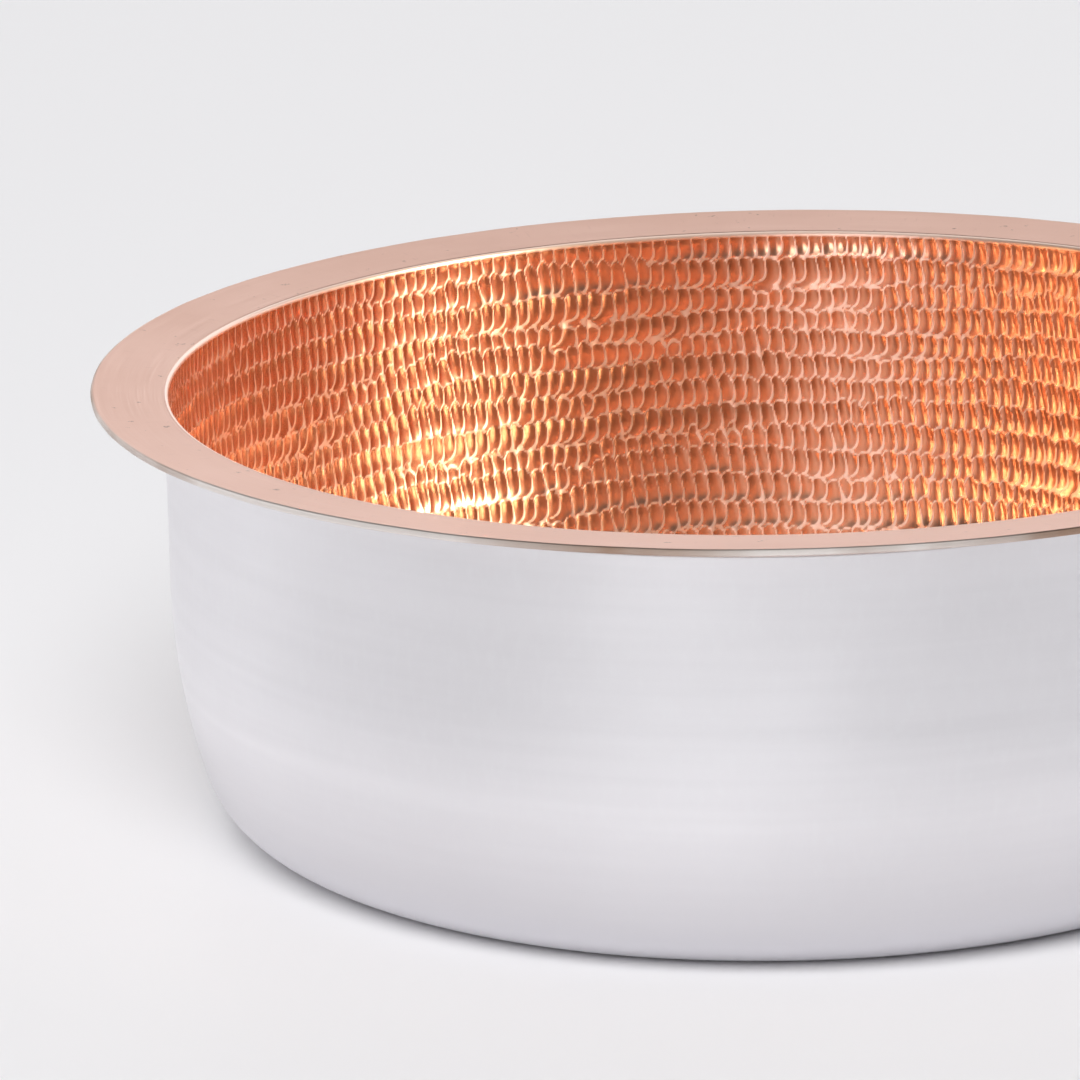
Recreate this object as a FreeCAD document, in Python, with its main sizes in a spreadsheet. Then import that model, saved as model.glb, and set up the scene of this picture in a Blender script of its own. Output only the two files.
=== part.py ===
import FreeCAD, Part
import math
import os

import Sketcher

# A round copper basin bowl: a hammered copper vessel, a flat copper rim ring brazed round its
# mouth, and a bright tinned skin on the outside.
#
# The frame is +Z up, with the origin at the centre of the flat underside, in millimetres. Every
# piece is a full turn of one section about Z, so each is a PartDesign body with a sketch and a
# revolution, and the sizes come from the spreadsheet.

FULL_TURN_DEG = 360
ROUND_TOLERANCE = 0.01
SHORTEST_REAL_EDGE = 1e-6

# Alias, value in millimetres, and what it measures.
SIZES = [
    ("rim_radius", 228.5, "outside of the rim ring: an 18 inch bowl"),
    ("wall_radius", 204.0, "outside of the tinned wall"),
    ("skin", 0.3, "thickness of the tinned skin"),
    ("gauge", 1.2, "thickness of the copper sheet"),
    ("shoulder_start", 84.0, "height where the straight wall starts to turn in"),
    ("shoulder_radius", 215.0, "outside radius of the long lower curve"),
    ("foot_radius", 30.0, "outside radius of the tight curve into the base"),
    ("ring_height", 150.0, "top of the rim ring at its bore"),
    ("ring_rise", 2.4, "how much higher the ring's outer edge is than its bore"),
    ("ring_gauge", 2.4, "thickness of the rim ring"),
    ("lip_round", 1.0, "rounding of the lip's inner edge"),
    ("edge_round", 0.9, "rounding of the ring's outer edge"),
    ("braze_leg", 3.5, "height and width of the brazed fillet under the ring"),
]


def make_sheet(doc):
    """The spreadsheet that holds the driving dimensions."""
    sheet = doc.addObject("Spreadsheet::Sheet", "Sizes")
    for row, (alias, value, meaning) in enumerate(SIZES, start=1):
        sheet.set(f"A{row}", str(value))
        sheet.setAlias(f"A{row}", alias)
        sheet.set(f"B{row}", meaning)
    doc.recompute()
    return sheet


def sized(sheet, expression):
    """The value of an expression over the sheet's aliases."""
    values = {alias: float(getattr(sheet, alias)) for alias, _, _ in SIZES}
    total, sign = 0.0, 1.0
    for word in expression.split():
        if word in "+-":
            sign = 1.0 if word == "+" else -1.0
        else:
            total += sign * values[word]
    return total


def bound(expression):
    """The same expression as FreeCAD reads it, with the sheet's name before each alias."""
    return " ".join(w if w in "+-" else "Sizes." + w for w in expression.split())


class Section:
    """A half section in the XZ plane of a body, with sizes bound to the sheet."""

    def __init__(self, sheet, body, name):
        self.sheet = sheet
        self.sketch = body.newObject("Sketcher::SketchObject", name)
        planes = {f.Role: f for f in body.Origin.OriginFeatures}
        self.sketch.AttachmentSupport = [(planes["XZ_Plane"], "")]
        self.sketch.MapMode = "FlatFace"

    def line(self, start, end):
        return self.sketch.addGeometry(
            Part.LineSegment(FreeCAD.Vector(*start, 0), FreeCAD.Vector(*end, 0))
        )

    def arc(self, centre, radius, start_deg, end_deg):
        circle = Part.Circle(FreeCAD.Vector(*centre, 0), FreeCAD.Vector(0, 0, 1), radius)
        return self.sketch.addGeometry(
            Part.ArcOfCircle(circle, math.radians(start_deg), math.radians(end_deg))
        )

    def fix(self, kind, *where):
        return self.sketch.addConstraint(Sketcher.Constraint(kind, *where))

    def size(self, kind, *where, to):
        """A dimension that follows an expression over the sheet's aliases."""
        index = self.fix(kind, *where, sized(self.sheet, to))
        self.sketch.setExpression(f"Constraints[{index}]", bound(to))

    def place(self, curve, point, across, up):
        """Holds a curve's point at a distance from the axis and a height above the base."""
        self.size("DistanceX", -1, 1, curve, point, to=across)
        self.size("DistanceY", -1, 1, curve, point, to=up)


START, END, CENTRE = 1, 2, 3
AXIS_LINE = -2


def new_body(doc, label):
    body = doc.addObject("PartDesign::Body", label)
    body.Label = label
    return body


def turn(body, section):
    """One full turn of the section about Z."""
    feature = body.newObject("PartDesign::Revolution", body.Label + "_turn")
    feature.Profile = section.sketch
    feature.ReferenceAxis = (section.sketch, ["V_Axis"])
    feature.Angle = FULL_TURN_DEG
    body.Document.recompute()
    return feature


def round_edges(body, base, circles, alias):
    """Fillets the full circles of a body that lie at the given (radius, height) pairs."""
    names = []
    for number, edge in enumerate(base.Shape.Edges, start=1):
        if edge.Length < SHORTEST_REAL_EDGE or not isinstance(edge.Curve, Part.Circle):
            continue
        for radius, height in circles:
            same_radius = abs(edge.Curve.Radius - radius) < ROUND_TOLERANCE
            same_height = abs(edge.Curve.Center.z - height) < ROUND_TOLERANCE
            if same_radius and same_height:
                names.append(f"Edge{number}")
    if len(names) != len(circles):
        raise RuntimeError(f"{body.Label}: found {names} for {circles}")
    feature = body.newObject("PartDesign::Fillet", body.Label + "_round")
    feature.Base = (base, names)
    feature.Radius = float(getattr(body.Document.Sizes, alias))
    feature.setExpression("Radius", bound(alias))
    body.Document.recompute()
    return feature


def vessel_layer(doc, sheet, label, outside, inside, top):
    """One skin of the vessel between two offsets of its outer shape, from the axis to the wall's top.

    Each offset is an expression: how far the face lies inside the tinned surface. The two curves
    of the shoulder keep their centres, so both faces stay parallel.
    """
    body = new_body(doc, label)
    section = Section(sheet, body, label + "_section")

    def value(expression):
        return sized(sheet, expression)

    big, small = value("shoulder_radius"), value("foot_radius")
    start = value("shoulder_start")
    turn_deg = math.degrees(math.asin((start - small) / (big - small)))
    big_centre = (value("wall_radius") - big, start)
    small_centre = (big_centre[0] + (big - small) * math.cos(math.radians(turn_deg)), small)

    def face(offset):
        """The wall, the two curves and the floor of one face, joined smoothly."""
        depth = value(offset) if offset else 0.0
        radius = value("wall_radius") - depth
        wall = section.line((radius, value(top)), (radius, start))
        long_curve = section.arc(big_centre, big - depth, -turn_deg, 0)
        foot_curve = section.arc(small_centre, small - depth, -90, -turn_deg)
        floor = section.line((small_centre[0], depth), (0, depth))
        section.fix("Tangent", wall, END, long_curve, END)
        section.fix("Tangent", long_curve, START, foot_curve, END)
        section.fix("Tangent", foot_curve, START, floor, START)
        section.fix("PointOnObject", floor, END, AXIS_LINE)
        return wall, long_curve, foot_curve, floor

    outer = face(outside)
    inner = face(inside)
    minus_out = f" - {outside}" if outside else ""
    section.fix("Vertical", outer[0])
    section.fix("Horizontal", outer[3])
    section.place(outer[0], START, "wall_radius" + minus_out, top)
    section.size("DistanceY", -1, 1, outer[1], CENTRE, to="shoulder_start")
    section.size("Radius", outer[1], to="shoulder_radius" + minus_out)
    section.size("Radius", outer[2], to="foot_radius" + minus_out)
    if outside:
        section.size("DistanceY", -1, 1, outer[3], END, to=outside)
    else:
        section.fix("PointOnObject", outer[3], END, -1)
    section.fix("Vertical", inner[0])
    section.fix("Horizontal", inner[3])
    section.fix("Coincident", inner[1], CENTRE, outer[1], CENTRE)
    section.fix("Coincident", inner[2], CENTRE, outer[2], CENTRE)
    section.size("Radius", inner[1], to="shoulder_radius - " + inside.replace("+", "-"))
    rim_edge = section.line((value("wall_radius" + minus_out), value(top)), (
        value("wall_radius") - value(inside), value(top)))
    middle = section.line((0, value(inside)), (0, value(outside) if outside else 0.0))
    section.fix("Coincident", rim_edge, START, outer[0], START)
    section.fix("Coincident", rim_edge, END, inner[0], START)
    section.fix("Horizontal", rim_edge)
    section.fix("Coincident", middle, START, inner[3], END)
    section.fix("Coincident", middle, END, outer[3], END)
    return body, turn(body, section)


def make_copper_bowl(doc, sheet):
    """The vessel: wall, shoulder and floor in one sheet. Its lip is flush with the rim ring."""
    top = "ring_height"
    body, turned = vessel_layer(doc, sheet, "copper_bowl", "skin", "skin + gauge", top)
    mouth = (sized(sheet, "wall_radius - skin - gauge"), sized(sheet, top))
    round_edges(body, turned, [mouth], "lip_round")
    return body


def make_tinned_skin(doc, sheet):
    """The bright skin on the whole outside, up to the toe of the brazed fillet."""
    top = "ring_height - ring_gauge - braze_leg"
    return vessel_layer(doc, sheet, "tinned_skin", "", "skin", top)[0]


def make_rim_ring(doc, sheet):
    """The flat ring round the mouth. Its bore fits the wall, and it rises a little outwards."""
    body = new_body(doc, "rim_ring")
    section = Section(sheet, body, "rim_ring_section")
    bore, rim = sized(sheet, "wall_radius - skin"), sized(sheet, "rim_radius")
    low, high = sized(sheet, "ring_height - ring_gauge"), sized(sheet, "ring_height")
    rise = sized(sheet, "ring_rise")
    corners = [(bore, low), (rim, low + rise), (rim, high + rise), (bore, high)]
    sides = [section.line(a, b) for a, b in zip(corners, corners[1:] + corners[:1])]
    for side, following in zip(sides, sides[1:] + sides[:1]):
        section.fix("Coincident", side, END, following, START)
    section.fix("Parallel", sides[0], sides[2])
    section.fix("Vertical", sides[1])
    section.fix("Vertical", sides[3])
    section.place(sides[2], END, "wall_radius - skin", "ring_height")
    section.place(sides[2], START, "rim_radius", "ring_height + ring_rise")
    section.size("DistanceY", sides[0], START, sides[2], END, to="ring_gauge")
    turned = turn(body, section)
    round_edges(body, turned, [(rim, low + rise), (rim, high + rise)], "edge_round")
    return body


def make_braze_seam(doc, sheet):
    """The fillet of braze in the corner between the wall and the ring's underside."""
    body = new_body(doc, "braze_seam")
    section = Section(sheet, body, "braze_seam_section")
    wall, leg = sized(sheet, "wall_radius - skin"), sized(sheet, "braze_leg")
    corner = sized(sheet, "ring_height - ring_gauge")
    slope = sized(sheet, "ring_rise") / (sized(sheet, "rim_radius") - wall)
    outer, toe = (wall + leg, corner + slope * leg), (wall, corner - leg)
    under_ring = section.line((wall, corner), outer)
    bevel = section.line(outer, toe)
    on_wall = section.line(toe, (wall, corner))
    for side, following in ((under_ring, bevel), (bevel, on_wall), (on_wall, under_ring)):
        section.fix("Coincident", side, END, following, START)
    section.fix("Vertical", on_wall)
    section.place(on_wall, END, "wall_radius - skin", "ring_height - ring_gauge")
    section.size("DistanceX", under_ring, START, under_ring, END, to="braze_leg")
    section.size("DistanceY", on_wall, START, on_wall, END, to="braze_leg")
    rise = section.fix("DistanceY", under_ring, START, under_ring, END, slope * leg)
    section.sketch.setExpression(
        f"Constraints[{rise}]",
        "Sizes.braze_leg * Sizes.ring_rise / (Sizes.rim_radius - Sizes.wall_radius + Sizes.skin)",
    )
    turn(body, section)
    return body


def check(doc, bodies):
    """Stops if any feature failed, or a body isn't one closed valid solid."""
    for item in doc.Objects:
        if "Invalid" in item.State or "Error" in item.State:
            raise RuntimeError(f"{item.Label} failed: {item.State}")
    for body in bodies:
        shape = body.Shape
        if shape.isNull() or not shape.isValid() or len(shape.Solids) != 1:
            raise RuntimeError(f"{body.Label} isn't one valid solid")


def main():
    doc = FreeCAD.newDocument("hammered_bowl")
    sheet = make_sheet(doc)
    bodies = [
        make_copper_bowl(doc, sheet),
        make_tinned_skin(doc, sheet),
        make_rim_ring(doc, sheet),
        make_braze_seam(doc, sheet),
    ]
    doc.recompute()
    check(doc, bodies)
    os.makedirs("parts", exist_ok=True)
    for body in bodies:
        body.Shape.exportStep(f"parts/{body.Label}.step")
        box = body.Shape.BoundBox
        print(f"{body.Label}: {body.Shape.Volume:.0f} mm3, {box.XLength:.1f} x {box.ZLength:.1f} mm")


main()
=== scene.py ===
import math

import bpy
import numpy as np
from mathutils import Matrix, Vector


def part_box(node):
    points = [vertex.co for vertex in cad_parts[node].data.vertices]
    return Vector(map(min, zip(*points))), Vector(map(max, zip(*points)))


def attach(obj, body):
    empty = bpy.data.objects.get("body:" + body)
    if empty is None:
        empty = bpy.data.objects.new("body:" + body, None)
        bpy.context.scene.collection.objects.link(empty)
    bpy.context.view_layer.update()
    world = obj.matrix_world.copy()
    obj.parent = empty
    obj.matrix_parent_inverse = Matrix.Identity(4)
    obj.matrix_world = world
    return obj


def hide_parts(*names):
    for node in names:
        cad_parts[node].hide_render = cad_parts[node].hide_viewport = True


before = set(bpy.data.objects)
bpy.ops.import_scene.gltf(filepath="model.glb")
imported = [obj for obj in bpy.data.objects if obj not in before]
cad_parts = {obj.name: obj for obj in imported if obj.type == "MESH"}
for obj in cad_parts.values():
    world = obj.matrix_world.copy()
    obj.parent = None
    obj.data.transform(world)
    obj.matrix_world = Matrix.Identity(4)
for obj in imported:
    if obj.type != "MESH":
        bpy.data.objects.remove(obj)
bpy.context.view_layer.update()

MM = 0.001

# ---------------------------------------------------------------------------------------------
# Sizes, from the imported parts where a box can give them
# ---------------------------------------------------------------------------------------------


def reach(node):
    """How far a round node reaches from the axis, its lowest and its highest point."""
    low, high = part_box(node)
    return max(high.x, high.y, -low.x, -low.y), low.z, high.z


RIM_R, RING_LOW, RING_TOP = reach("rim_ring")
COPPER_R, _, LIP_TOP = reach("copper_bowl")
SKIN_R, _, SKIN_TOP = reach("tinned_skin")
SEAM_R, SEAM_LOW, _ = reach("braze_seam")

SKIN = SKIN_R - COPPER_R
GAUGE = 1.2 * MM
RING_GAUGE = 2.4 * MM
RING_RISE = RING_TOP - LIP_TOP
SHOULDER_START = 84.0 * MM
SHOULDER_R = 215.0 * MM
FOOT_R = 30.0 * MM
LIP_ROUND = 1.15 * MM
EDGE_ROUND = 0.9 * MM

# Two faces that touch each keep this far back, so that neither shows through the other.
SET_BACK = 0.02 * MM
OUTER_TOP_DROP = 0.05 * MM

# How finely the pieces are divided: points round each, and the gap between rings of points.
ROUND_THE_BOWL = 2560
ROUND_THE_REST = 1088
INSIDE_STEP = 0.8 * MM
OUTSIDE_STEP = 1.6 * MM
HIDDEN_RINGS = 60

MARKS_SEED, RING_SEED, SEAM_SEED = 7, 3, 5
PHASE_SPAN = 6.28

# ---------------------------------------------------------------------------------------------
# Surfaces of revolution
# ---------------------------------------------------------------------------------------------


class Face:
    """The vessel's face at one inset from the tinned surface, by distance along it from its top."""

    def __init__(self, inset, top):
        self.inset, self.top = inset, top
        self.turn = math.asin((SHOULDER_START - FOOT_R) / (SHOULDER_R - FOOT_R))
        self.big = SHOULDER_R - inset
        self.small = FOOT_R - inset
        self.flat = SKIN_R - SHOULDER_R + (SHOULDER_R - FOOT_R) * math.cos(self.turn)
        self.wall_end = top - SHOULDER_START
        self.shoulder_end = self.wall_end + self.big * self.turn
        self.foot_end = self.shoulder_end + self.small * (math.pi / 2 - self.turn)
        self.length = self.foot_end + self.flat

    def at(self, s):
        """Radius, height and inward normal (radial, vertical) at distance s."""
        s = np.asarray(s, float)
        a = np.clip((s - self.wall_end) / self.big, 0, self.turn)
        b = np.clip(self.turn + (s - self.shoulder_end) / self.small, self.turn, math.pi / 2)
        r_wall = np.full_like(s, SKIN_R - self.inset)
        z_wall = self.top - s
        r_long = SKIN_R - SHOULDER_R + self.big * np.cos(a)
        z_long = SHOULDER_START - self.big * np.sin(a)
        r_foot = self.flat + self.small * np.cos(b)
        z_foot = FOOT_R - self.small * np.sin(b)
        r_floor = np.maximum(self.length - s, 0)
        z_floor = np.full_like(s, self.inset)
        where = [s < self.wall_end, s < self.shoulder_end, s < self.foot_end]
        r = np.select(where, [r_wall, r_long, r_foot], r_floor)
        z = np.select(where, [z_wall, z_long, z_foot], z_floor)
        angle = np.where(s < self.shoulder_end, a, b)
        return r, z, -np.cos(angle), np.sin(angle)


def ring_sizes(radii, full, full_radius, least=34):
    """How many points each ring takes, halved as the rings get small."""
    sizes = []
    for radius in radii:
        n = full
        while n % 2 == 0 and n > least and radius < full_radius * n / full / 2:
            n //= 2
        sizes.append(1 if radius < 1e-7 else n)
    return sizes


def stitch(sizes, closed=False):
    """Triangles and quads between rings of those sizes, with each corner's place in its ring."""
    starts = np.concatenate([[0], np.cumsum(sizes)])
    quads, tris = [], []
    pairs = [(i, i + 1) for i in range(len(sizes) - 1)]
    if closed:
        pairs.append((len(sizes) - 1, 0))
    for a, b in pairs:
        n, m = sizes[a], sizes[b]
        fewer, more = sorted((n, m))
        j = np.arange(fewer if fewer > 1 else more)

        def corner(ring, index):
            point = starts[ring] + index % sizes[ring]
            return np.stack([point, index, np.full_like(index, ring)], 1)

        def faces(*corners):
            return np.stack(corners, 1)

        if n == m:
            quads.append(faces(corner(a, j), corner(a, j + 1), corner(b, j + 1), corner(b, j)))
        elif m == 1:
            tris.append(faces(corner(a, j), corner(a, j + 1), corner(b, j * 0)))
        elif n == 1:
            tris.append(faces(corner(a, j * 0), corner(b, j + 1), corner(b, j)))
        elif n == 2 * m:
            tris.append(faces(corner(a, 2 * j), corner(a, 2 * j + 1), corner(b, j)))
            tris.append(faces(corner(a, 2 * j + 1), corner(b, j + 1), corner(b, j)))
            tris.append(faces(corner(a, 2 * j + 1), corner(a, 2 * j + 2), corner(b, j + 1)))
        else:
            tris.append(faces(corner(a, j), corner(b, 2 * j + 1), corner(b, 2 * j)))
            tris.append(faces(corner(a, j), corner(a, j + 1), corner(b, 2 * j + 1)))
            tris.append(faces(corner(a, j + 1), corner(b, 2 * j + 2), corner(b, 2 * j + 1)))
    return quads, tris


def revolve(name, section, sizes, shape, closed=False):
    """A mesh of rings about Z, of those sizes. section gives each ring's arc length, and
    shape(ring, theta) gives the points and their "crest" values, or None for no such values."""
    ring_of = np.repeat(np.arange(len(sizes)), sizes)
    place = np.concatenate([np.arange(n) / n for n in sizes])
    points, crest = shape(ring_of, place * 2 * math.pi)
    quads, tris = stitch(sizes, closed)
    polygons = [(4, q) for q in quads] + [(3, t) for t in tris]
    loops = np.concatenate([p.reshape(-1, 3) for _, p in polygons])
    totals = np.concatenate([np.full(len(p), corners) for corners, p in polygons])
    mesh = bpy.data.meshes.new(name)
    mesh.vertices.add(len(points))
    mesh.vertices.foreach_set("co", points.astype(np.float32).ravel())
    mesh.loops.add(len(loops))
    mesh.loops.foreach_set("vertex_index", loops[:, 0].astype(np.int32))
    mesh.polygons.add(len(totals))
    starts = np.concatenate([[0], np.cumsum(totals)[:-1]])
    mesh.polygons.foreach_set("loop_start", starts.astype(np.int32))
    mesh.polygons.foreach_set("use_smooth", np.ones(len(totals), bool))
    uv = mesh.uv_layers.new(name="around")
    count = np.asarray(sizes)[loops[:, 2]]
    across = loops[:, 1] / np.maximum(count, 1)
    along = np.asarray(section)[loops[:, 2]]
    uv.data.foreach_set("uv", np.stack([across, along], 1).astype(np.float32).ravel())
    if crest is not None:
        layer = mesh.attributes.new("crest", "FLOAT", "POINT")
        layer.data.foreach_set("value", crest.astype(np.float32))
    mesh.update(calc_edges=True)
    mesh.validate()
    piece = bpy.data.objects.new(name, mesh)
    bpy.context.scene.collection.objects.link(piece)
    return piece


# ---------------------------------------------------------------------------------------------
# Hammer marks
# ---------------------------------------------------------------------------------------------

ROW_PITCH = 9.0 * MM
MARK_WIDTH = 4.7 * MM
ACROSS_R = 10.0 * MM
ALONG_R = 34.0 * MM
SCALLOP = 0.6
BOW = 0.075
RIDGE_SOFTNESS = 0.012 * MM
RIDGE_WIDTH = 0.36 * MM

# How much single marks differ from their row, one standard deviation.
STRAY_ACROSS = 0.06
STRAY_ALONG = 0.2 * MM
STRAY_DEPTH = 0.010 * MM
STRAY_TILT_ACROSS = 0.014
STRAY_TILT_ALONG = 0.018

# How a whole row strays: waves round the bowl, each with its height in mm, and slow leaning.
WAVES = ((2, 0.45), (3, 0.35), (5, 0.30), (9, 0.20), (17, 0.12))
WAVE_DRIFT = 0.55
LEANS = (2, 5, 11)
LEAN_SIZE = 0.035

LEAST_MARKS = 5
LEAST_WIDTH = 0.5 * MM
UP_LIMIT = 1.3
LEAST_APART = 0.05
FAR = 1.0
TINY = 1e-30

# This height above the bottoms of the marks lies on the plain face.
MARK_LEVEL = 0.30 * MM


class Hammering:
    """Rows of overlapping hammer marks, taller than wide, on a face of revolution."""

    def __init__(self, face, seed):
        rng = np.random.default_rng(seed)
        self.rows = int(face.length / ROW_PITCH) + 2
        self.centre = (np.arange(self.rows) + 0.5) * ROW_PITCH
        radius = face.at(np.minimum(self.centre, face.length))[0]
        around = 2 * math.pi * radius
        self.count = np.maximum(np.round(around / MARK_WIDTH), LEAST_MARKS).astype(int)
        self.width = np.maximum(around / self.count, LEAST_WIDTH)
        shape = (self.rows, self.count.max())
        self.phase = rng.uniform(0, 1, self.rows)
        self.shift_across = rng.normal(0, STRAY_ACROSS, shape)
        self.shift_along = rng.normal(0, STRAY_ALONG, shape)
        self.depth = rng.normal(0, STRAY_DEPTH, shape)
        self.tilt_across = rng.normal(0, STRAY_TILT_ACROSS, shape)
        self.tilt_along = rng.normal(0, STRAY_TILT_ALONG, shape)
        self.wave_phase = rng.uniform(0, 2 * math.pi, (len(WAVES), 1)) + np.cumsum(
            rng.normal(0, WAVE_DRIFT, (len(WAVES), self.rows)), 1
        )
        self.lean_phase = rng.uniform(0, 2 * math.pi, (len(LEANS), self.rows))

    def wave(self, theta, row):
        """How far a row strays from its circle."""
        total = np.zeros_like(theta)
        for (times, size), phase in zip(WAVES, self.wave_phase):
            total += size * MM * np.sin(times * theta + phase[row])
        return total

    def lean(self, theta, row):
        """How far the marks of a row tip up or down, which changes slowly along it."""
        total = np.zeros_like(theta)
        for times, phase in zip(LEANS, self.lean_phase):
            total += LEAN_SIZE * np.sin(times * theta + phase[row])
        return total

    def height(self, s, theta):
        """Height above the bottoms of the marks, and distance to the nearest ridge between two.

        The surface is the lowest of the marks that reach a point, softened where they meet.
        """
        total = np.zeros_like(s)
        best = np.full((3, len(s)), FAR)
        second = np.full((3, len(s)), FAR)
        first = np.floor(s / ROW_PITCH).astype(int)
        for step in (-1, 0, 1):
            row = np.clip(first + step, 0, self.rows - 1)
            real = (first + step >= 0) & (first + step < self.rows)
            middle = self.centre[row] + self.wave(theta, row)
            lean = self.lean(theta, row)
            column = (theta / (2 * math.pi) + self.phase[row]) * self.count[row]
            base = np.floor(column).astype(int)
            for side in (-1, 0, 1):
                mark = (base + side) % self.count[row]
                middle_column = base + side + 0.5 + self.shift_across[row, mark]
                u = (middle_column - column) * self.width[row]
                v = middle + self.shift_along[row, mark] - s
                up = np.clip(v / (ROW_PITCH / 2), -UP_LIMIT, UP_LIMIT)
                tip = lean + self.tilt_along[row, mark]
                f = u * u / (2 * ACROSS_R) * (1 + SCALLOP * up) + v * v / (2 * ALONG_R)
                f += tip * v + self.tilt_across[row, mark] * u
                f += self.depth[row, mark] - BOW * u * (1 - up * up)
                total += np.where(real, np.exp(-f / RIDGE_SOFTNESS), 0)
                here = np.stack([np.where(real, f, FAR), u / ACROSS_R, v / ALONG_R + tip])
                nearer = here[0] < best[0]
                next_one = ~nearer & (here[0] < second[0])
                second = np.where(nearer, best, np.where(next_one, here, second))
                best = np.where(nearer, here, best)
        apart = np.hypot(second[1] - best[1], second[2] - best[2])
        ridge = (second[0] - best[0]) / np.maximum(apart, LEAST_APART)
        return -RIDGE_SOFTNESS * np.log(np.maximum(total, TINY)), ridge


# ---------------------------------------------------------------------------------------------
# The pieces
# ---------------------------------------------------------------------------------------------


def polar(r, z, theta):
    """Points from their radius, height and angle."""
    return np.stack([r * np.cos(theta), r * np.sin(theta), z], 1)


def make_bowl():
    """The copper vessel: hammered inside, smooth where the skin covers it, with a rounded lip."""
    inside = Face(SKIN + GAUGE, LIP_TOP)
    outside = Face(SKIN + SET_BACK, LIP_TOP - OUTER_TOP_DROP)
    s_out = np.linspace(outside.length, 0, HIDDEN_RINGS)
    r_out, z_out, _, _ = outside.at(s_out)
    turn = np.linspace(math.pi / 2, 0, 6)[:-1]
    r_lip = SKIN_R - SKIN - GAUGE + LIP_ROUND * (1 - np.cos(turn))
    z_lip = LIP_TOP - LIP_ROUND * (1 - np.sin(turn))
    s_in = np.append(np.arange(LIP_ROUND, inside.length, INSIDE_STEP), inside.length)
    r_in, z_in, nr_in, nz_in = inside.at(s_in)
    marks = Hammering(inside, MARKS_SEED)
    r = np.concatenate([r_out, r_lip, r_in])
    z = np.concatenate([z_out, z_lip, z_in])
    n_lip = len(turn)
    nr = np.concatenate([np.zeros(len(s_out)), -np.cos(turn), nr_in])
    nz = np.concatenate([np.zeros(len(s_out)), np.sin(turn), nz_in])
    s = np.concatenate([-s_out - 0.01, np.linspace(-LIP_ROUND, LIP_ROUND * 0.9, n_lip), s_in])

    # The marks' share of their full height grows below the lip and fades at the floor's centre.
    below = np.clip((s_in - LIP_ROUND) / (2.5 * MM), 0, 1)
    share_in = 0.12 + 0.88 * below * below * (3 - 2 * below)
    centre_fade = np.clip(r / (6 * MM), 0, 1)
    share = np.concatenate([np.zeros(len(s_out) + n_lip), share_in]) * centre_fade
    sizes = ring_sizes(r, ROUND_THE_BOWL, SKIN_R)
    ring_number = np.arange(len(r))
    on_lip = (ring_number >= len(s_out)) & (ring_number <= len(s_out) + n_lip)

    def shape(ring, theta):
        lift = np.zeros(len(ring))
        ridge = np.ones(len(ring))
        used = share[ring] > 0
        lift[used], ridge[used] = marks.height(np.maximum(s[ring[used]], 0), theta[used])
        crest = np.clip(1.25 - ridge / RIDGE_WIDTH, 0, 1)
        # The whole lip takes the full crest value, so the material paints it pale all round: a
        # painted highlight along the lip.
        crest[on_lip[ring]] = 1
        lift = (lift - MARK_LEVEL) * share[ring]
        return polar(r[ring] + nr[ring] * lift, z[ring] + nz[ring] * lift, theta), crest

    return revolve("hammered_bowl", s, sizes, shape)


def make_skin():
    """The tinned skin: satin outside, with the hammering showing faintly through it."""
    outer = Face(0, SKIN_TOP)
    inner = Face(SKIN - SET_BACK, SKIN_TOP)
    s_in = np.linspace(inner.length, 0, HIDDEN_RINGS)
    s_out = np.append(np.arange(0, outer.length, OUTSIDE_STEP), outer.length)
    r_in, z_in, _, _ = inner.at(s_in)
    r_out, z_out, nr_out, nz_out = outer.at(s_out)
    marks = Hammering(Face(SKIN + GAUGE, LIP_TOP), MARKS_SEED)
    below_lip = LIP_TOP - SKIN_TOP
    r = np.concatenate([r_in, r_out])
    z = np.concatenate([z_in, z_out])
    nr = np.concatenate([np.zeros(len(s_in)), nr_out])
    nz = np.concatenate([np.zeros(len(s_in)), nz_out])
    s = np.concatenate([-s_in - 0.01, s_out])
    on_floor = (z < 1 * MM) & (nz > 0.5)
    show_through = 0.06
    share = np.concatenate([np.zeros(len(s_in)), np.full(len(s_out), show_through)])
    share[on_floor] = 0
    sizes = ring_sizes(r, ROUND_THE_REST, SKIN_R)

    def shape(ring, theta):
        lift = np.zeros(len(ring))
        used = share[ring] > 0
        lift[used] = marks.height(s[ring[used]] + below_lip, theta[used])[0] - MARK_LEVEL
        lift *= share[ring]
        return polar(r[ring] + nr[ring] * lift, z[ring] + nz[ring] * lift, theta), None

    # The rings run up the inner face and down the outer one, which would turn the faces inside
    # out, so the points go round the other way.
    return revolve("tinned_outside", s, sizes, lambda ring, theta: shape(ring, -theta))


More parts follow.
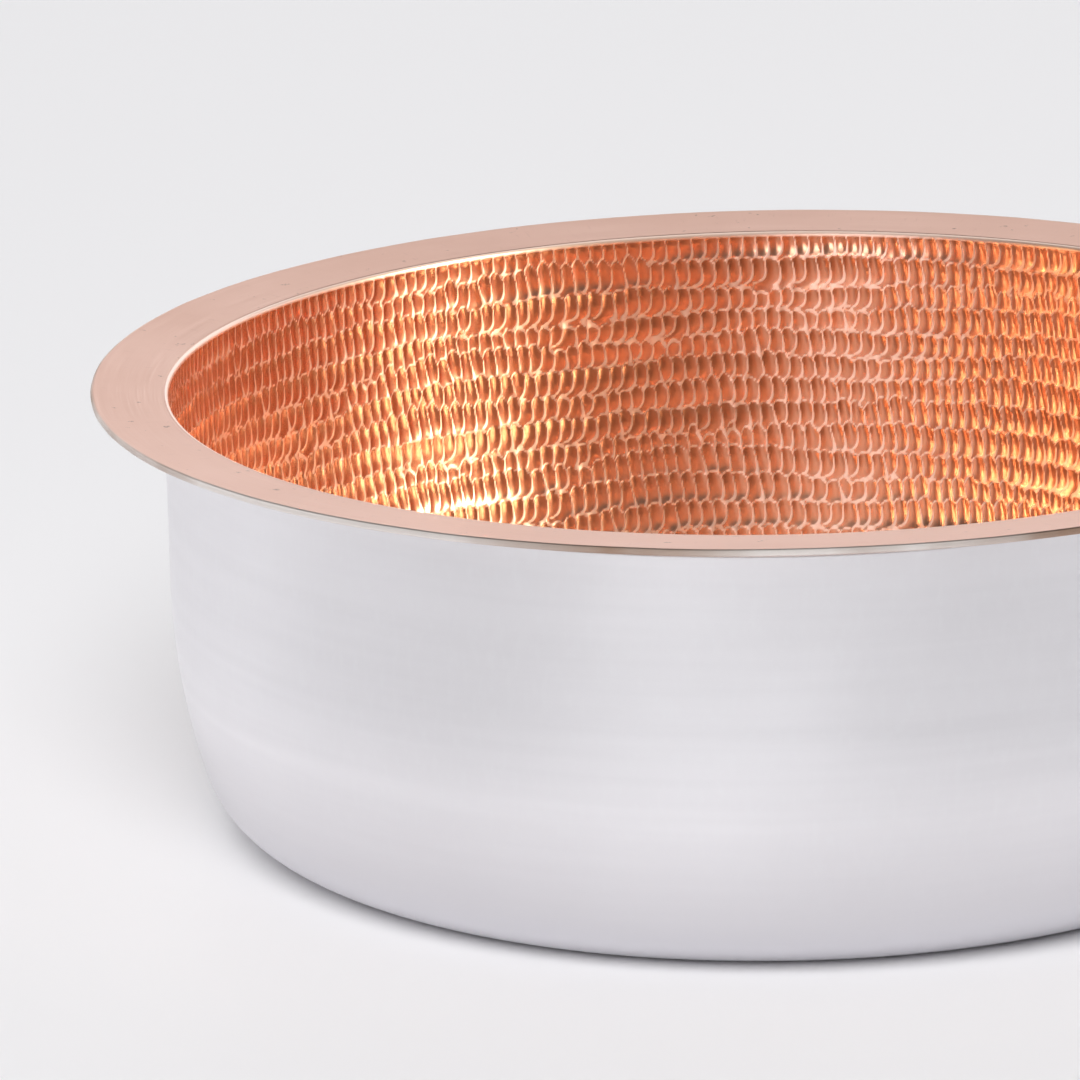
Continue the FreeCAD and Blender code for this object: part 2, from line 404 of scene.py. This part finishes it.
def make_ring():
    """The rim ring: a flat copper band that rises outwards, with rounded edges."""
    slope = RING_RISE / (RIM_R - COPPER_R)
    rng = np.random.default_rng(RING_SEED)
    bore, low, high = COPPER_R + 0.01 * MM, RING_LOW, LIP_TOP
    top_r = np.linspace(bore, RIM_R - EDGE_ROUND, 30)
    top = [(x, high + slope * (x - COPPER_R)) for x in top_r]
    upper = (RIM_R - EDGE_ROUND, RING_TOP - EDGE_ROUND)
    lower = (RIM_R - EDGE_ROUND, RING_TOP - RING_GAUGE + EDGE_ROUND)
    corner_up = [(upper[0] + EDGE_ROUND * math.sin(a), upper[1] + EDGE_ROUND * math.cos(a))
                 for a in np.linspace(0.12, math.pi / 2, 8)]
    corner_down = [(lower[0] + EDGE_ROUND * math.cos(a), lower[1] - EDGE_ROUND * math.sin(a))
                   for a in np.linspace(0, math.pi / 2, 8)]
    under_r = np.linspace(RIM_R - EDGE_ROUND - 0.3 * MM, bore, 16)
    under = [(x, low + slope * (x - COPPER_R)) for x in under_r]
    points = np.array(top[:-1] + corner_up + corner_down + under)
    r, z = points[:, 0], points[:, 1]
    s = np.concatenate([[0], np.cumsum(np.hypot(np.diff(r), np.diff(z)))])
    out = np.clip((r - COPPER_R) / (RIM_R - COPPER_R), 0, 1)
    waves = [(m, rng.uniform(0, PHASE_SPAN), rng.normal(0, 1)) for m in range(2, 60)]

    def shape(ring, theta):
        wobble = sum(a * np.sin(m * theta + p) / (1 + m / 9) for m, p, a in waves)
        edge = 0.03 * MM * wobble * out[ring]
        rise = 0.02 * MM * sum(
            a * np.cos(m * theta + 2 * p) / (1 + m / 6) for m, p, a in waves
        ) * out[ring]
        radius = r[ring] + edge - 0.1 * MM * out[ring]
        height = z[ring] + rise - 0.05 * MM * out[ring]
        return polar(radius, height, -theta), out[ring]

    # Outwards along the top, the rings run the way that faces down, hence -theta above. The
    # "crest" values say how far out a point is, for the outer edge's tarnish and painted
    # reflection.
    return revolve("rim_ring_band", s, [ROUND_THE_REST] * len(r), shape, closed=True)


def make_seam():
    """The brazed fillet in the corner under the ring, a little uneven along its length."""
    leg = SEAM_R - COPPER_R
    rng = np.random.default_rng(SEAM_SEED)
    corner = (COPPER_R + 0.005 * MM, SEAM_LOW + leg)
    slope = RING_RISE / (RIM_R - COPPER_R)
    t = np.linspace(0, 1, 12)
    hollow_r = corner[0] + leg * (1 - t) ** 1.7
    hollow_z = corner[1] - leg * t ** 1.7 + slope * leg * (1 - t) ** 1.7
    r = np.concatenate([hollow_r, [corner[0]]])
    z = np.concatenate([hollow_z, [corner[1]]])
    s = np.arange(len(r)) * 0.4 * MM
    bead = np.concatenate([np.sin(np.pi * t), [0]])
    waves = [(m, rng.uniform(0, PHASE_SPAN), rng.normal(0, 1)) for m in range(40, 200, 3)]

    def shape(ring, theta):
        ripple = sum(a * np.sin(m * theta + p) for m, p, a in waves) * 0.02 * MM * bead[ring]
        return polar(r[ring] + ripple, z[ring] - np.abs(ripple), -theta), None

    return revolve("brazed_fillet", s, [ROUND_THE_REST] * len(r), shape, closed=True)


# ---------------------------------------------------------------------------------------------
# Materials
# ---------------------------------------------------------------------------------------------


class Nodes:
    """Short ways to build a material's nodes."""

    def __init__(self, name):
        self.material = bpy.data.materials.new(name)
        self.material.use_nodes = True
        self.tree = self.material.node_tree
        self.shader = self.tree.nodes["Principled BSDF"]

    def add(self, kind, **inputs):
        node = self.tree.nodes.new(kind)
        for key, value in inputs.items():
            socket = node.inputs[key.replace("_", " ")]
            if isinstance(value, bpy.types.NodeSocket):
                self.tree.links.new(value, socket)
            else:
                socket.default_value = value
        return node

    def link(self, output, target):
        self.tree.links.new(output, target)

    def object_point(self):
        return self.tree.nodes.new("ShaderNodeTexCoord").outputs["Object"]

    def height(self):
        split = self.add("ShaderNodeSeparateXYZ", Vector=self.object_point())
        return split.outputs["Z"]

    def around(self, scale_u, scale_v):
        """The piece's own UV: turns round the bowl across, metres along the section."""
        uv = self.tree.nodes.new("ShaderNodeTexCoord").outputs["UV"]
        mapping = self.add("ShaderNodeMapping", Vector=uv)
        mapping.inputs["Scale"].default_value = (scale_u, scale_v, 1)
        return mapping.outputs["Vector"]

    def noise(self, vector, scale, detail=3.0, roughness=0.5):
        node = self.add("ShaderNodeTexNoise", Vector=vector, Scale=scale, Detail=detail,
                        Roughness=roughness)
        return node.outputs["Fac"]

    def ramp(self, factor, low, high, to_low=0.0, to_high=1.0):
        node = self.tree.nodes.new("ShaderNodeMapRange")
        self.link(factor, node.inputs["Value"])
        ends = {"From Min": low, "From Max": high, "To Min": to_low, "To Max": to_high}
        for key, value in ends.items():
            node.inputs[key].default_value = value
        return node.outputs["Result"]

    def mix(self, factor, one, two):
        node = self.tree.nodes.new("ShaderNodeMix")
        node.data_type = "RGBA"
        self.link(factor, node.inputs["Factor"])
        colours = [i for i in node.inputs if i.type == "RGBA"]
        for socket, value in zip(colours, (one, two)):
            if isinstance(value, bpy.types.NodeSocket):
                self.link(value, socket)
            else:
                socket.default_value = (*value, 1)
        return next(o for o in node.outputs if o.type == "RGBA")

    def polished_around(self, amount):
        """Fine polishing lines run round the axis, so highlights spread along the section."""
        tangent = self.tree.nodes.new("ShaderNodeTangent")
        tangent.direction_type = "RADIAL"
        tangent.axis = "Z"
        self.link(tangent.outputs["Tangent"], self.shader.inputs["Tangent"])
        self.shader.inputs["Anisotropic"].default_value = amount
        self.shader.inputs["Anisotropic Rotation"].default_value = 0.25

    def attribute(self, name):
        node = self.tree.nodes.new("ShaderNodeAttribute")
        node.attribute_name = name
        return node.outputs["Fac"]

    def bump(self, height, distance, strength=1.0, normal=None):
        node = self.add("ShaderNodeBump", Height=height, Distance=distance, Strength=strength)
        if normal is not None:
            self.link(normal, node.inputs["Normal"])
        return node.outputs["Normal"]


def copper_inside():
    """Polished copper: browner in the hammer marks; paler on their crests, partly rubbed wear and
    partly a painted highlight.
    """
    n = Nodes("hammered_copper")
    point = n.object_point()
    tone = n.noise(point, 11.0, 4.0)
    grain = n.noise(n.around(900.0, 3000.0), 1.0, 3.0)
    colour = n.mix(n.ramp(tone, 0.35, 0.65), (0.77, 0.435, 0.29), (0.71, 0.38, 0.245))
    crest = n.attribute("crest")
    # The pale crest colour is partly rubbed wear on the ridges and partly a painted highlight
    # standing in for the light they catch.
    colour = n.mix(crest, colour, (0.95, 0.73, 0.63))
    n.link(colour, n.shader.inputs["Base Color"])
    n.link(n.ramp(crest, 0.0, 1.0, 1.0, 0.88), n.shader.inputs["Metallic"])
    n.link(n.ramp(crest, 0.0, 1.0, 0.18, 0.38), n.shader.inputs["Roughness"])
    n.polished_around(0.65)
    n.link(n.bump(grain, 0.001 * MM), n.shader.inputs["Normal"])
    return n.material


def copper_ring():
    """Satin copper: scratched and lightly pitted; along its outer edge, blotches of brown tarnish
    and of pale grey painted reflection.
    """
    n = Nodes("satin_copper")
    point = n.object_point()
    tone = n.noise(point, 14.0, 5.0)
    scratches = n.noise(n.around(26.0, 2600.0), 1.0, 4.0, 0.7)
    cross_scratches = n.noise(n.around(700.0, 90.0), 1.0, 3.0, 0.6)
    colour = n.mix(n.ramp(tone, 0.35, 0.65), (0.80, 0.505, 0.40), (0.75, 0.455, 0.35))
    colour = n.mix(n.ramp(scratches, 0.55, 0.75, 0.0, 0.35), colour, (0.90, 0.66, 0.56))
    colour = n.mix(n.ramp(cross_scratches, 0.62, 0.74, 0.0, 0.3), colour, (0.58, 0.33, 0.25))
    pits = n.noise(point, 190.0, 5.0, 0.65)
    colour = n.mix(n.ramp(pits, 0.66, 0.71, 0.0, 0.75), colour, (0.26, 0.13, 0.09))
    # Outer edge band: the brown patches are tarnish, and the pale grey patches are a painted
    # reflection on the polished edge.
    edge_patches = n.ramp(n.noise(point, 9.0, 4.0), 0.42, 0.58)
    edge_tarnish_and_reflection = n.mix(edge_patches, (0.40, 0.27, 0.20), (0.84, 0.78, 0.74))
    outwards = n.attribute("crest")
    edge = n.ramp(outwards, 0.955, 0.99)
    colour = n.mix(edge, colour, edge_tarnish_and_reflection)
    n.link(colour, n.shader.inputs["Base Color"])
    n.shader.inputs["Metallic"].default_value = 1.0
    n.link(n.ramp(scratches, 0.3, 0.7, 0.32, 0.46), n.shader.inputs["Roughness"])
    grooves = n.bump(scratches, 0.006 * MM)
    n.link(n.bump(pits, 0.04 * MM, normal=grooves), n.shader.inputs["Normal"])
    return n.material


def tin():
    """Satin tin, with faint bands and upright ticks where the hammering shows through, and painted
    shade darkening it towards the bottom.
    """
    n = Nodes("satin_tin")
    point = n.object_point()
    tone = n.noise(point, 8.0, 4.0)
    bands = n.noise(n.around(7.0, 150.0), 1.0, 3.0)
    ticks = n.noise(n.around(420.0, 110.0), 1.0, 3.0, 0.6)
    colour = n.mix(n.ramp(tone, 0.35, 0.65), (0.93, 0.92, 0.945), (0.895, 0.885, 0.91))
    colour = n.mix(n.ramp(bands, 0.35, 0.65, 0.0, 0.35), colour, (0.85, 0.84, 0.865))
    colour = n.mix(n.ramp(ticks, 0.5, 0.7, 0.0, 0.3), colour, (0.93, 0.93, 0.95))
    # Painted shade: the colour darkens towards the bottom, standing in for the shaded floor
    # reflected there.
    colour = n.mix(n.ramp(n.height(), 0.055, 0.012), colour, (0.69, 0.68, 0.71))
    n.link(colour, n.shader.inputs["Base Color"])
    n.shader.inputs["Metallic"].default_value = 1.0
    n.link(n.ramp(tone, 0.3, 0.7, 0.38, 0.46), n.shader.inputs["Roughness"])
    rippled = n.bump(ticks, 0.02 * MM)
    satin = n.bump(n.noise(point, 300.0, 4.0), 0.015 * MM, normal=rippled)
    n.link(satin, n.shader.inputs["Normal"])
    return n.material


def braze():
    """Dull brazing metal, blotched from grey to brown."""
    n = Nodes("braze_metal")
    point = n.object_point()
    tone = n.noise(point, 120.0, 4.0)
    colour = n.mix(n.ramp(tone, 0.3, 0.7), (0.72, 0.68, 0.62), (0.55, 0.46, 0.38))
    n.link(colour, n.shader.inputs["Base Color"])
    n.shader.inputs["Metallic"].default_value = 1.0
    n.link(n.ramp(tone, 0.3, 0.7, 0.35, 0.55), n.shader.inputs["Roughness"])
    n.link(n.bump(tone, 0.1 * MM), n.shader.inputs["Normal"])
    return n.material


PIECES = (
    (make_bowl, copper_inside, "copper_bowl", "copper_hammered"),
    (make_skin, tin, "tinned_skin", "tin_satin"),
    (make_ring, copper_ring, "rim_ring", "copper_satin"),
    (make_seam, braze, "braze_seam", "braze_alloy"),
)
for make, material, node, slot in PIECES:
    piece = make()
    piece.data.materials.append(material())
    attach(piece, "root")
    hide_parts(node)

# ---------------------------------------------------------------------------------------------
# Floor, light and camera
# ---------------------------------------------------------------------------------------------


def make_floor():
    """A plain pale floor, wide enough to reach past every view."""
    mesh = bpy.data.meshes.new("floor")
    side = 40.0
    corners = [(-side, -side, 0), (side, -side, 0), (side, side, 0), (-side, side, 0)]
    mesh.from_pydata(corners, [], [(0, 1, 2, 3)])
    floor = bpy.data.objects.new("floor", mesh)
    bpy.context.scene.collection.objects.link(floor)
    n = Nodes("pale_floor")
    n.shader.inputs["Base Color"].default_value = (0.88, 0.872, 0.885, 1)
    n.shader.inputs["Roughness"].default_value = 0.5
    n.shader.inputs["Specular IOR Level"].default_value = 0.2
    mesh.materials.append(n.material)
    return floor


MID_BOWL = (0, 0, 0.1)
MID_RIM = (0, 0, 0.15)
LAMP_DISTANCE = 1.6


def area_light(name, place, target, size, power, colour=(1, 1, 1)):
    """A rectangular lamp at a place, turned to a target. size is its two sides in metres."""
    data = bpy.data.lights.new(name, "AREA")
    data.shape = "RECTANGLE"
    data.size, data.size_y = size
    data.energy = power
    data.color = colour
    lamp = bpy.data.objects.new(name, data)
    lamp.location = place
    lamp.rotation_euler = (Vector(target) - Vector(place)).to_track_quat("-Z", "Y").to_euler()
    bpy.context.scene.collection.objects.link(lamp)
    return lamp


def only_on(lamp, *pieces):
    """The lamp lights these pieces and nothing else."""
    group = bpy.data.collections.new(lamp.name + "_lights")
    for piece in pieces:
        group.objects.link(piece)
    lamp.light_linking.receiver_collection = group


def unshaded(lamp):
    """Only the thin fillet stands in this lamp's way, so it fills the well past the near wall.

    A collection of blockers with nothing in it would be passed over, hence the fillet.
    """
    group = bpy.data.collections.new(lamp.name + "_blockers")
    group.objects.link(bpy.data.objects["brazed_fillet"])
    lamp.light_linking.blocker_collection = group


def around_bowl(azimuth, elevation):
    """A place at an angle round the bowl, from 0 on the camera's side to 90 on its right."""
    a, e = math.radians(azimuth), math.radians(elevation)
    return (LAMP_DISTANCE * math.cos(e) * math.sin(a), -LAMP_DISTANCE * math.cos(e) * math.cos(a),
            MID_BOWL[2] + LAMP_DISTANCE * math.sin(e))


floor = make_floor()
bowl = bpy.data.objects["hammered_bowl"]
ring = bpy.data.objects["rim_ring_band"]

area_light("softbox_above", (-0.05, -0.75, 1.35), MID_BOWL, (1.5, 1.1), 2.4)
only_on(area_light("lip_light", (0, 0.6, 1.4), (0, 0.1, 0.1), (1.2, 1.6), 5), bowl)

# Lamps that fill the well: name, azimuth and elevation, size, power and colour.
WELL_LAMPS = (
    ("key_right", (69, 21), (0.3, 0.34), 34, (1.0, 0.88, 0.66)),
    ("panel_front", (-18, -8), (0.45, 0.9), 10, (1.0, 0.93, 0.93)),
    ("glint_left", (-66, 4), (0.1, 0.1), 1.2, (1.0, 0.70, 0.30)),
)
for name, angles, size, power, colour in WELL_LAMPS:
    lamp = area_light(name, around_bowl(*angles), MID_BOWL, size, power, colour)
    only_on(lamp, bowl)
    unshaded(lamp)

only_on(area_light("rim_glow", around_bowl(180, 30), MID_RIM, (1.8, 0.5), 1.5), ring, bowl)
for azimuth in (-62, 0, 62):
    only_on(area_light("rim_fill", around_bowl(azimuth, 28), MID_RIM, (1.8, 1.1), 4.5), ring)


def make_floor_wash():
    """Broad light on the floor alone, from the camera's side and above."""
    data = bpy.data.lights.new("floor_wash", "SUN")
    data.energy = 3.3
    data.angle = math.radians(50)
    lamp = bpy.data.objects.new("floor_wash", data)
    lamp.rotation_euler = Vector((0.2, 0.8, -0.75)).to_track_quat("-Z", "Y").to_euler()
    bpy.context.scene.collection.objects.link(lamp)
    only_on(lamp, floor)


make_floor_wash()


def make_world():
    """A pale studio: bright round the horizon, dimmer overhead and on the camera's side."""
    world = bpy.data.worlds.new("studio")
    bpy.context.scene.world = world
    world.use_nodes = True
    tree = world.node_tree
    background = tree.nodes["Background"]
    direction = tree.nodes.new("ShaderNodeTexCoord").outputs["Generated"]

    def falloff(axis, start, end, low, high):
        """Goes from low to high as the direction turns towards an axis."""
        dot = tree.nodes.new("ShaderNodeVectorMath")
        dot.operation = "DOT_PRODUCT"
        tree.links.new(direction, dot.inputs[0])
        dot.inputs[1].default_value = Vector(axis).normalized()
        fall = tree.nodes.new("ShaderNodeMapRange")
        fall.interpolation_type = "SMOOTHSTEP"
        tree.links.new(dot.outputs["Value"], fall.inputs["Value"])
        ends = {"From Min": start, "From Max": end, "To Min": low, "To Max": high}
        for key, value in ends.items():
            fall.inputs[key].default_value = value
        return fall.outputs["Result"]

    camera_side = falloff((0, -1, 0), -0.45, 0.35, 1.3, 0.2)
    overhead = falloff((0, 0, 1), 0.35, 0.62, 0.84, 0.12)
    both = tree.nodes.new("ShaderNodeMath")
    both.operation = "MULTIPLY"
    tree.links.new(camera_side, both.inputs[0])
    tree.links.new(overhead, both.inputs[1])
    background.inputs["Color"].default_value = (0.98, 0.98, 1.0, 1)
    tree.links.new(both.outputs["Value"], background.inputs["Strength"])


make_world()
bpy.context.scene.view_settings.view_transform = "Standard"
bpy.context.scene.cycles.glossy_bounces = 10

# The camera looks along +Y, down by PITCH, rolled by ROLL. AIM is the point at the picture's
# middle, across and up from the middle of the mouth in the camera's own plane.
LENS, SENSOR = 250.0, 36.0
CLIP = (0.05, 100)
PITCH, ROLL = math.radians(15.609), math.radians(-1.402)
DISTANCE = 2.512
AIM = (-0.0780, -0.0565)

forward = Vector((0, math.cos(PITCH), -math.sin(PITCH)))
level = Vector((1, 0, 0))
upright = level.cross(forward)
right = math.cos(ROLL) * level + math.sin(ROLL) * upright
above = -math.sin(ROLL) * level + math.cos(ROLL) * upright
mouth = Vector((0, 0, LIP_TOP))
spot = mouth + AIM[0] * right + AIM[1] * above - DISTANCE * forward
camera_data = bpy.data.cameras.new("camera")
camera_data.lens, camera_data.sensor_width = LENS, SENSOR
camera_data.clip_start, camera_data.clip_end = CLIP
camera = bpy.data.objects.new("camera", camera_data)
camera.matrix_world = Matrix((
    (right.x, above.x, -forward.x, spot.x),
    (right.y, above.y, -forward.y, spot.y),
    (right.z, above.z, -forward.z, spot.z),
    (0, 0, 0, 1),
))
bpy.context.scene.collection.objects.link(camera)
bpy.context.scene.camera = camera
